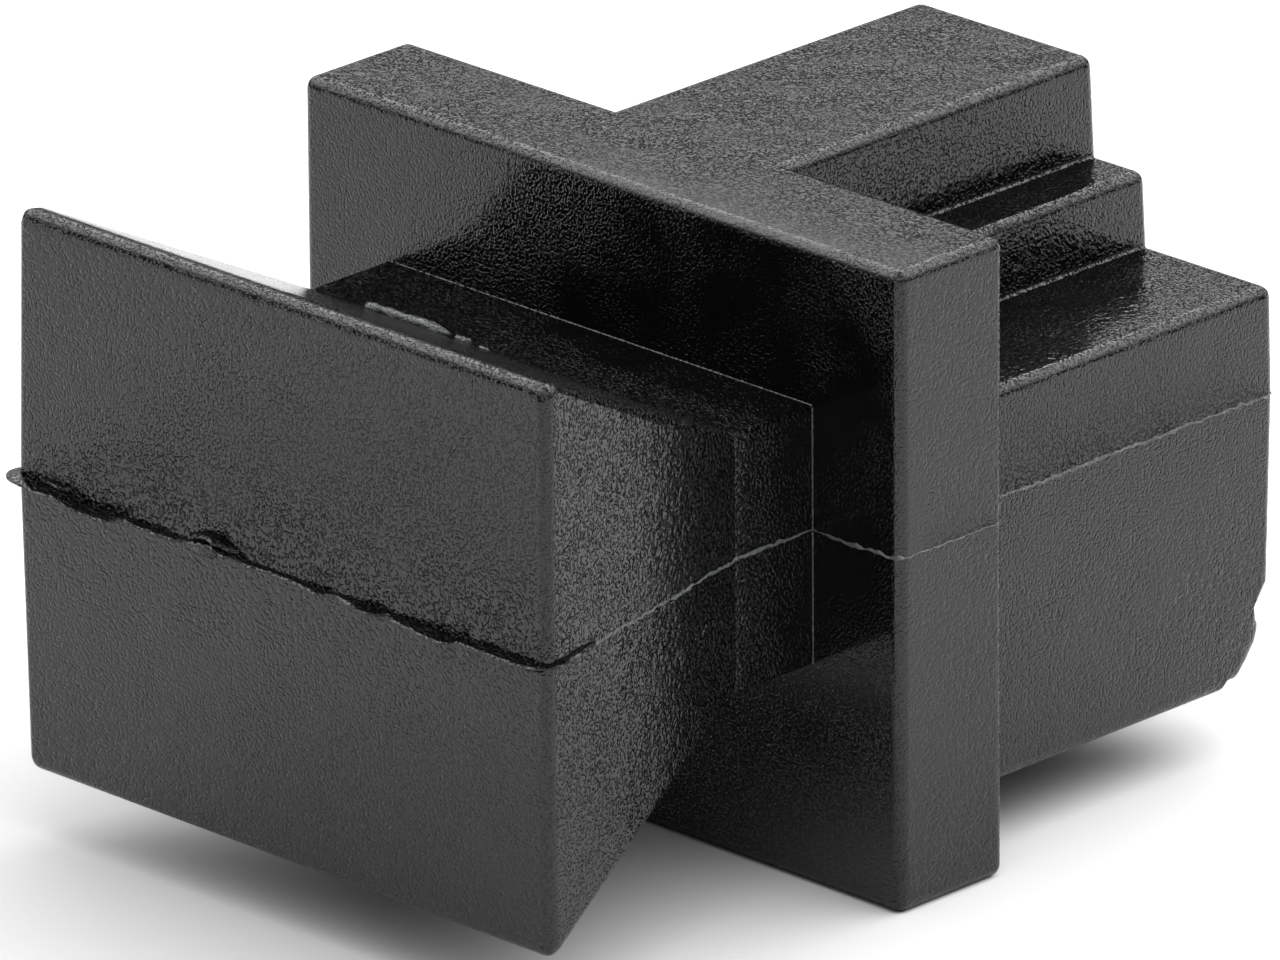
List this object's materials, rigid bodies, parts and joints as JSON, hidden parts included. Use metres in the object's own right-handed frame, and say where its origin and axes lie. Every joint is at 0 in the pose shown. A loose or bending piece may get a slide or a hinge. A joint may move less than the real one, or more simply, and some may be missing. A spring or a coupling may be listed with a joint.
{
  "type": "modular jack dust plug",
  "caption": "Push-in dust plug for a modular network jack: flared pull grip, short neck, seating flange and a stepped insert shaped like the jack's keyed opening.",
  "frame": {"origin": "in the seating plane, the flange's back face, where the middle of the jack's opening crosses the mould's parting plane", "axes": "+Y the way the plug is pushed in, +Z towards the latch keyway, +X to the right as seen from the grip"},
  "size_m": [0.0132, 0.0169, 0.0107],
  "materials": {
    "moulded_black": "black plastic, semi-gloss, with a fine spark-eroded pebble grain"
  },
  "bodies": {
    "root": {"plug_moulding": "moulded_black", "grip_flash": "moulded_black", "neck_burr": "moulded_black", "gate_stub": "moulded_black"}
  },
  "joints": []
}
